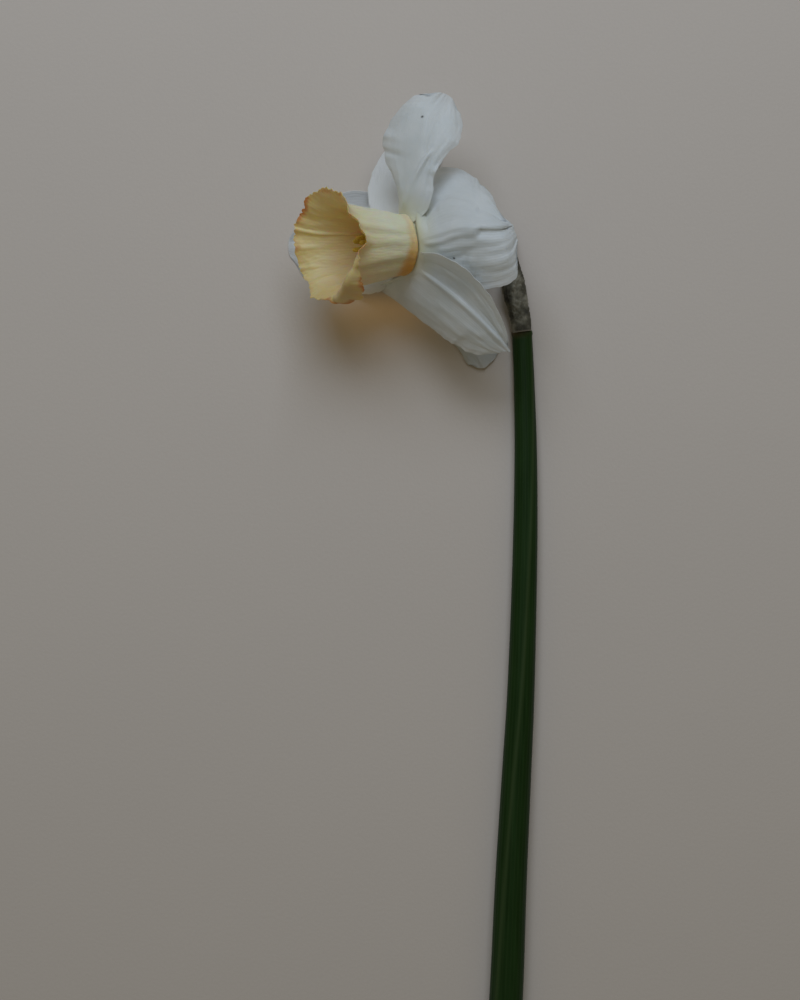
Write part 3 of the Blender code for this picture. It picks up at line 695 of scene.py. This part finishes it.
def make_petals(material):
    """The six petals, each with its small point, uneven outline, relief and grains of dirt."""
    for node, spec in PETALS.items():
        grid, along, across, reach = petal_surface(spec)
        tip = np.exp(-(across * np.maximum(reach.max(axis=1), 2.5)[:, None] / 1.1) ** 2)
        tip = tip * ease(0.9, 1.0, along)
        direction = unit(grid[-1, PETAL_COLUMNS // 2] - grid[-12, PETAL_COLUMNS // 2])
        grid = grid + tip[..., None] * direction * spec["mucro"]
        outline = ease(0.8, 1.0, np.abs(across)) * rough(grid, 0.25, spec["seed"] + 4) * 0.45
        outward = unit(grid - grid[:, PETAL_COLUMNS // 2:PETAL_COLUMNS // 2 + 1])
        grid = grid + outward * (outline * ease(0.1, 0.3, along))[..., None]
        normal = grid_normals(grid, False)
        grid = grid + normal * petal_relief(spec, along, across, reach)[..., None]
        thin = 1 - 0.6 * np.maximum(ease(0.6, 1.0, np.abs(across)), ease(0.8, 1.0, along))
        dirt = np.zeros(along.shape)
        for place, side in spec.get("specks", ()):
            r = np.abs(along[:, 0] - place).argmin()
            c = np.abs(across[0] - side).argmin()
            away = np.linalg.norm(grid - grid[r, c], axis=-1)
            dirt += np.exp(-(away / SPECK_RADIUS) ** 2)
        # painted light: each petal's share of lighter white goes with it to the material
        skin("look_" + node, grid, PETAL_THICKNESS * thin, material, [node],
             {"along": along, "across": across, "dirt": dirt,
              "painted_light": np.full(along.shape, spec.get("painted_light", 0.0))}, floor=0.05)


# Cup ------------------------------------------------------------------------------------------

def cup_waves(turn):
    """Frills of the rim round the cup: outwards, along the axis, and its small notches."""
    t = turn * 2 * math.pi
    circle = np.stack([np.cos(t), np.sin(t), np.zeros(len(t))], axis=-1)
    strength = 0.6 + 0.8 * rough(circle, 1.4, 31, 1)
    outward = strength * (0.45 * np.sin(8 * t + 0.6) + 0.5 * np.sin(13 * t + 2.1 + np.sin(3 * t))
                          + 0.3 * np.sin(23 * t + 4.0 + 2 * np.sin(5 * t)))
    lengthwise = 0.9 * rough(circle, 3.0, 33, 2) + 0.8 * rough(circle, 8.0, 35, 2)
    teeth = np.abs(np.sin(17 * t + 2.5 * np.sin(4 * t + 1.0) + 1.2 * np.sin(11 * t))) ** 0.5
    fine = np.abs(np.sin(41 * t + 3.0 * np.sin(7 * t) + 2.0 * np.sin(3 * t))) ** 0.6
    return outward, lengthwise, 0.45 * teeth + 0.35 * fine


def cup_profile(flare):
    """Sideways and lengthwise share of a wall of length 1 that bends out to this angle."""
    places = np.linspace(0.0, 1.0, 200)
    bend = ease(CUP_FLARE_START, 1.0, places) ** 1.3
    slope = np.radians(CUP_LEAN + (flare - CUP_LEAN) * bend)
    return np.sin(slope).mean(), np.cos(slope).mean()


def wall_to_rim(radius, reach):
    """Flare angle and length of the wall that ends at this radius and reach."""
    outward, forward = radius - CUP_FOOT_RADIUS, reach - CUP_FOOT_REACH
    low, high = 0.0, 140.0
    for _ in range(20):
        flare = (low + high) / 2
        sideways, lengthwise = cup_profile(flare)
        if sideways / lengthwise < outward / forward:
            low = flare
        else:
            high = flare
    return flare, forward / lengthwise


def make_cup(material):
    """The cup: each side's wall is walked from foot to rim, then creased, frilled and coloured."""
    turn = np.arange(CUP_SIDES) / CUP_SIDES
    angle = turn * 2 * math.pi
    outward, lengthwise, notches = cup_waves(turn)
    walls = [wall_to_rim(smooth_round(RIM_RADIUS, t), smooth_round(RIM_REACH, t)) for t in turn]
    flare, length = np.array(walls).T
    back = np.maximum(np.array([smooth_round(RIM_TURNED_BACK, t) for t in turn]), 0.0)
    whole = length + back + lengthwise + notches - 0.5
    places = 1 - (1 - np.linspace(0.0, 1.0, CUP_ROWS)) ** 1.3
    radius = np.full(CUP_SIDES, CUP_FOOT_RADIUS)
    reach = np.full(CUP_SIDES, CUP_FOOT_REACH)
    rows = []
    last = 0.0
    for place in places:
        run = place * whole
        bend = ease(CUP_FLARE_START, 1.0, run / length) ** 1.3
        slope = CUP_LEAN + (flare - CUP_LEAN) * bend
        turned = np.minimum(back / 2.5, 1.0) * ease(length - 2.0, length + 2.5, run)
        slope = np.radians(slope + (TURNED_BACK_ANGLE - slope) * turned)
        step = (place - last) * whole
        radius = radius + np.sin(slope) * step
        reach = reach + np.cos(slope) * step
        last = place
        pleats = 0.16 * np.cos(11 * angle + 1.6 * np.sin(3 * angle)) * math.sin(math.pi * place * 0.9)
        wave = pleats + outward * place ** 6
        bead = 0.35 * math.exp(-((place - 0.03) / 0.03) ** 2)
        foot_edge = 0.75 * math.exp(-(place / 0.012) ** 2)
        r = radius + (bead - foot_edge) + wave * np.cos(slope)
        z = reach - wave * np.sin(slope)
        rows.append(np.stack([r * np.cos(angle), r * np.sin(angle), z], axis=1))
    grid = np.array(rows)
    along = np.repeat(places[:, None], CUP_SIDES, axis=1)
    turns = np.repeat(turn[None, :], CUP_ROWS, axis=0)
    # painted shade: this mask is 1 on the cup's lower side, away from the light, and 0 on its upper
    # side
    shaded_side = 0.5 + 0.5 * np.cos((turns - RING_MIDDLE) * 2 * math.pi)
    speckle = rough(grid, 0.9, 2, 2)
    # the orange ring is the cup's own colour; its widening and deepening towards the lower side is
    # partly painted shade
    ring_width = 0.10 + 0.07 * shaded_side
    ring = (1 - ease(0.6 * ring_width, 1.25 * ring_width, along + 0.015 * speckle))
    ring = ring * (0.2 + 0.75 * shaded_side ** 2)
    stain = ease(0.12, 0.5, rough(grid, 0.20, 6, 2))
    spots = ease(0.93, 0.995, along + 0.02 * speckle) * (0.10 + 0.90 * stain) * 0.8
    normal = grid_normals(grid, True)
    soft = grid * np.array([1.0, 1.0, 0.35])
    relief = 0.30 * rough(soft, 0.22, 9) + 0.06 * rough(soft, 0.7, 11)
    for at, width, depth, start in CUP_CREASES:
        away = (turns * 360 - at + 2.0 * np.sin(along * 5 + at)) / width
        relief -= depth * np.exp(-away ** 2) * ease(start, start + 0.3, along)
    grid = grid + normal * relief[..., None]
    thickness = CUP_THICKNESS - RIM_THINNING * ease(0.3, 1.0, along)
    skin("look_corona", in_head(grid), thickness, material, ["corona"],
         {"along": along, "turn": turns, "ring": ring, "spots": spots, "shaded_side": shaded_side ** 2},
         closed=True)


# Stamens, style, tube, ovary ---------------------------------------------------------------------

def spin(points, angle, sideways):
    """Points moved sideways from the axis and turned round it."""
    a = math.radians(angle)
    turn = np.array([[math.cos(a), -math.sin(a), 0.0], [math.sin(a), math.cos(a), 0.0],
                     [0.0, 0.0, 1.0]])
    return (np.asarray(points) + np.array([sideways, 0.0, 0.0])) @ turn.T


def make_stamens(filament, anther):
    """Six stamens round the style; each anther has two lobes with a groove between."""
    half = ANTHER_WIDTH / 2
    profile = [(half * r, ANTHER_START + ANTHER_LENGTH * h) for r, h in
               ((0.15, 0.0), (0.8, 0.07), (1.0, 0.3), (0.95, 0.7), (0.75, 0.93), (0.15, 1.0))]
    stalk = ((0.5, FILAMENT_FOOT), (0.42, -2.0), (0.36, 5.0), (0.26, ANTHER_START + 0.8))
    for i in range(STAMENS):
        angle = 360 / STAMENS * i + FIRST_STAMEN
        rings = turned_rings(profile, 40, 40, lambda a, p: 1 - 0.28 * np.cos(a) ** 8
                             + 0.05 * np.sin(9 * p + 4 * a))
        bend = 0.35 * np.sin((rings[..., 2] - ANTHER_START) / ANTHER_LENGTH * math.pi + i)
        rings[..., 0] += bend
        solid("look_anther_%d" % (i + 1), in_head(spin(rings, angle, STAMEN_RADIUS)), anther,
              ["anther_%d" % (i + 1)])
        rings = turned_rings(stalk, 20, 40)
        solid("look_filament_%d" % (i + 1), in_head(spin(rings, angle, STAMEN_RADIUS)), filament,
              ["filament_%d" % (i + 1)])


def make_style(material):
    """Style with a three-lobed stigma."""
    profile = ((0.6, STYLE_FOOT), (0.52, -10.0), (0.48, 0.0), (0.46, 10.0), (0.5, STYLE_TIP - 1.2),
               (1.1, STYLE_TIP - 0.3), (1.3, STYLE_TIP + 0.4), (0.5, STYLE_TIP + 0.8))
    rings = turned_rings(profile, 48, 120,
                         lambda a, p: 1 + (0.22 * np.cos(3 * a) if p > 0.84 else 0.0))
    solid("look_style", in_head(rings), material, ["style"])


def make_tube(material):
    """Funnel behind the cup, with six faint ribs."""
    rings = turned_rings([(r, h - TUBE_LENGTH) for r, h in TUBE_PROFILE], 120, 60,
                         lambda a, p: 1 + 0.03 * np.cos(6 * a) + 0.01 * np.cos(18 * a + 1))
    skin("look_perianth_tube", in_head(rings), TUBE_THICKNESS, material, ["perianth_tube"],
         closed=True)


def make_ovary(material):
    """Three-sided ovary behind the tube."""
    foot = -TUBE_LENGTH - OVARY_LENGTH - 0.3
    rings = turned_rings([(r, h + foot) for r, h in OVARY_PROFILE], 96, 60,
                         lambda a, p: 1 + 0.07 * np.cos(3 * a + 0.5) * math.sin(math.pi * p))
    solid("look_ovary", in_head(rings), material, ["ovary"])


# Stem, stalk, sheath -------------------------------------------------------------------------------

def make_stem(material):
    """Oval stem, flat where it lies, with fine ribs and two keels that twist slowly round it."""
    line = [(x, y, 0.0) for x, y in STEM_LINE]
    places = np.linspace(0.0, 1.0, STEM_ROWS)
    here, _, side, _ = line_frames(line, places, UP)
    angle = np.arange(STEM_SIDES) * 2 * math.pi / STEM_SIDES
    rings, ribs, keels = [], [], []
    for r, place in enumerate(places):
        half = float(smooth_value(STEM_WIDTH, place)) / 2
        keel_at = math.radians(152.0 - 122.0 * place)
        keel = sum(np.exp(-(np.sin((angle - keel_at - offset) / 2) / 0.07) ** 2)
                   for offset in (0.0, math.radians(168.0)))
        rib = np.cos(angle * STEM_RIBS + 2.0 * place)
        swell = 1 + 0.045 * keel + 0.006 * rib + 0.01 * np.cos(2 * (angle - keel_at))
        collar = ease(0.988, 0.994, place) * (1 - ease(0.997, 1.0, place))
        swell = swell * (1 + 0.06 * collar)
        height = half * STEM_FLATNESS
        ring = (here[r] + side[r] * (half * 0.99 * np.cos(angle) * swell)[:, None]
                + UP * (height * (0.97 + np.sin(angle) * swell))[:, None])
        ring[:, 2] = np.maximum(ring[:, 2], 0.0)
        rings.append(ring)
        ribs.append(ease(0.2, 1.0, rib))
        keels.append(keel)
    end, top = stem_end(rings[0]), stem_top(rings[-1])
    rings = np.concatenate([end, rings, top])
    before = len(end)
    smooth_end, smooth_top = np.zeros(end.shape[:2]), np.zeros(top.shape[:2])
    ribs = np.concatenate([smooth_end, ribs, smooth_top])
    keels = np.concatenate([smooth_end, keels, smooth_top])
    row = np.arange(len(rings))[:, None].repeat(STEM_SIDES, 1)
    cut = (row < before).astype(float)
    left_side = 0.5 - 0.5 * np.cos(angle)[None, :]
    collar = ease(before + STEM_ROWS - 9, before + STEM_ROWS - 2, row) * left_side
    solid("look_stem", rings, material, ["stem"],
          {"rib": ribs, "keel": keels * 0.6, "collar": collar * 0.8, "cut": cut})


def stem_end(ring):
    """Rings of the cut end, from its hollow middle out to the skin."""
    middle = ring.mean(axis=0)
    inward = np.array([0.0, 1.0, 0.0])
    shares = ((0.05, 1.6), (0.2, 1.5), (0.34, 1.2), (0.42, 0.2), (0.5, 0.0), (0.7, 0.0), (0.86, 0.0),
              (0.96, -0.02))
    return np.array([middle + (ring - middle) * share + inward * depth for share, depth in shares])


def stem_top(ring):
    """Rings that close the top round the stalk."""
    middle = ring.mean(axis=0)
    return np.array([middle + (ring - middle) * share for share in (0.97, 0.85, 0.6, 0.3, 0.05)])


def make_pedicel(material):
    """Stalk from the stem's top, through the sheath, to the ovary."""
    foot = -TUBE_LENGTH - OVARY_LENGTH - 0.6
    line = list(PEDICEL_LINE) + [ring_point(0, 0, foot - 2.9), ring_point(0, 0, foot)]
    places = np.linspace(0.0, 1.0, 120)
    here, _, side, up = line_frames(line, places, UP)
    angle = np.arange(60) * 2 * math.pi / 60
    radius = np.array([float(smooth_value(PEDICEL_RADII, p)) for p in places])[:, None]
    radius = radius * (1 + 0.03 * np.cos(7 * angle)[None, :])
    rings = (here[:, None] + side[:, None] * (radius * np.cos(angle))[..., None]
             + up[:, None] * (radius * np.sin(angle))[..., None])
    solid("look_pedicel", rings, material, ["pedicel"])


def make_spathe(material):
    """Papery sheath: a split, crumpled sleeve that opens into a ragged blade."""
    places = np.linspace(0.0, 1.0, SPATHE_ROWS)
    here, _, side, up = line_frames(SPATHE_LINE, places, UP)
    share = np.linspace(0.0, 1.0, SPATHE_COLUMNS)
    grid = np.zeros((SPATHE_ROWS, SPATHE_COLUMNS, 3))
    for r, place in enumerate(places):
        start = float(smooth_value(SPATHE_START, place))
        end = float(smooth_value(SPATHE_END, place))
        radius = float(smooth_value(SPATHE_RADII, place))
        a = np.radians(start + (end - start) * share)
        ragged = 3.0 * noise.noise(Vector((place * 23, 1.0, 0.0)))
        a = a + np.radians(ragged) * (share - 0.5) * 2
        overlap = 0.25 * share
        grid[r] = (here[r] + side[r] * ((radius + overlap) * np.cos(a))[:, None]
                   + up[r] * ((radius + overlap) * np.sin(a))[:, None])
    placed = np.repeat(places[:, None], SPATHE_COLUMNS, axis=1)
    across = np.repeat(share[None, :], SPATHE_ROWS, axis=0) * 2 - 1
    stretched = grid * np.array([1.0, 0.45, 1.0])
    folds = 0.55 * rough(stretched, 0.42, 3, 4) + 0.22 * rough(grid, 1.3, 5, 3)
    ridge = -0.25 * np.abs(rough(stretched, 0.8, 7, 2))
    normal = grid_normals(grid, False)
    grid = grid + normal * ((folds + ridge) * (0.35 + 0.65 * ease(0.02, 0.2, placed)))[..., None]
    edge = ease(0.93, 1.0, np.abs(across)) * 0.6 + (1 - ease(0.0, 0.02, placed)) * 0.8
    skin("look_spathe", grid, SPATHE_THICKNESS, material, ["spathe"],
         {"across": across, "edge": np.clip(edge, 0, 1)}, floor=0.05)


# Stage ---------------------------------------------------------------------------------------------

def make_floor(material):
    """The surface that the flower lies on."""
    size = FLOOR_HALF_SIZE
    mesh = bpy.data.meshes.new("floor")
    mesh.from_pydata([(-size, -size, 0), (size, -size, 0), (size, size, 0), (-size, size, 0)], [],
                     [(0, 1, 2, 3)])
    mesh.materials.append(material)
    floor = bpy.data.objects.new("floor", mesh)
    bpy.context.scene.collection.objects.link(floor)
    floor.location.z = CAD_BOX[0].z - FLOOR_GAP


def make_camera():
    """Camera that looks straight down."""
    data = bpy.data.cameras.new("camera")
    data.sensor_width = SENSOR
    data.lens = SENSOR * CAMERA_HEIGHT / VIEW_LONG_SIDE
    camera = bpy.data.objects.new("camera", data)
    camera.location = Vector(SHIFT) + Vector((0.0, 0.0, CAMERA_HEIGHT * MM))
    bpy.context.scene.collection.objects.link(camera)
    bpy.context.scene.camera = camera


def add_light(name, place, target, size, watts, colour):
    data = bpy.data.lights.new(name, "AREA")
    data.shape = "RECTANGLE"
    data.size, data.size_y = size
    data.energy = watts
    data.color = colour
    light = bpy.data.objects.new(name, data)
    light.location = place
    light.rotation_euler = (Vector(target) - Vector(place)).to_track_quat("-Z", "Y").to_euler()
    bpy.context.scene.collection.objects.link(light)


def make_light():
    """A broad window light, the weak glow that comes through the cup, and an even warm room."""
    add_light("window", **WINDOW)
    under_cup = Vector(SHIFT) + Vector(UNDER_CUP) * MM
    add_light("through_cup", place=under_cup, target=under_cup + Vector(UNDER_CUP_AIM) * MM, **GLOW)
    world = bpy.data.worlds.new("room")
    world.use_nodes = True
    background = world.node_tree.nodes["Background"]
    background.inputs["Color"].default_value = ROOM_COLOUR
    background.inputs["Strength"].default_value = ROOM_STRENGTH
    bpy.context.scene.world = world
    bpy.context.scene.view_settings.view_transform = "Standard"


def main():
    make_camera()
    make_light()
    make_floor(floor_material())
    make_petals(petal_material())
    make_cup(cup_material())
    make_stamens(fleshy_material("filament", (0.55, 0.55, 0.25), (0.65, 0.64, 0.35), 0.5),
                 anther_material())
    make_style(fleshy_material("style", (0.62, 0.66, 0.36), (0.72, 0.74, 0.48), 0.45))
    make_tube(fleshy_material("tube", (0.64, 0.66, 0.44), (0.72, 0.73, 0.54), 0.5))
    green = fleshy_material("ovary", (0.05, 0.13, 0.02), (0.09, 0.19, 0.04), 0.4)
    make_ovary(green)
    make_pedicel(green)
    make_stem(stem_material())
    make_spathe(spathe_material())


main()
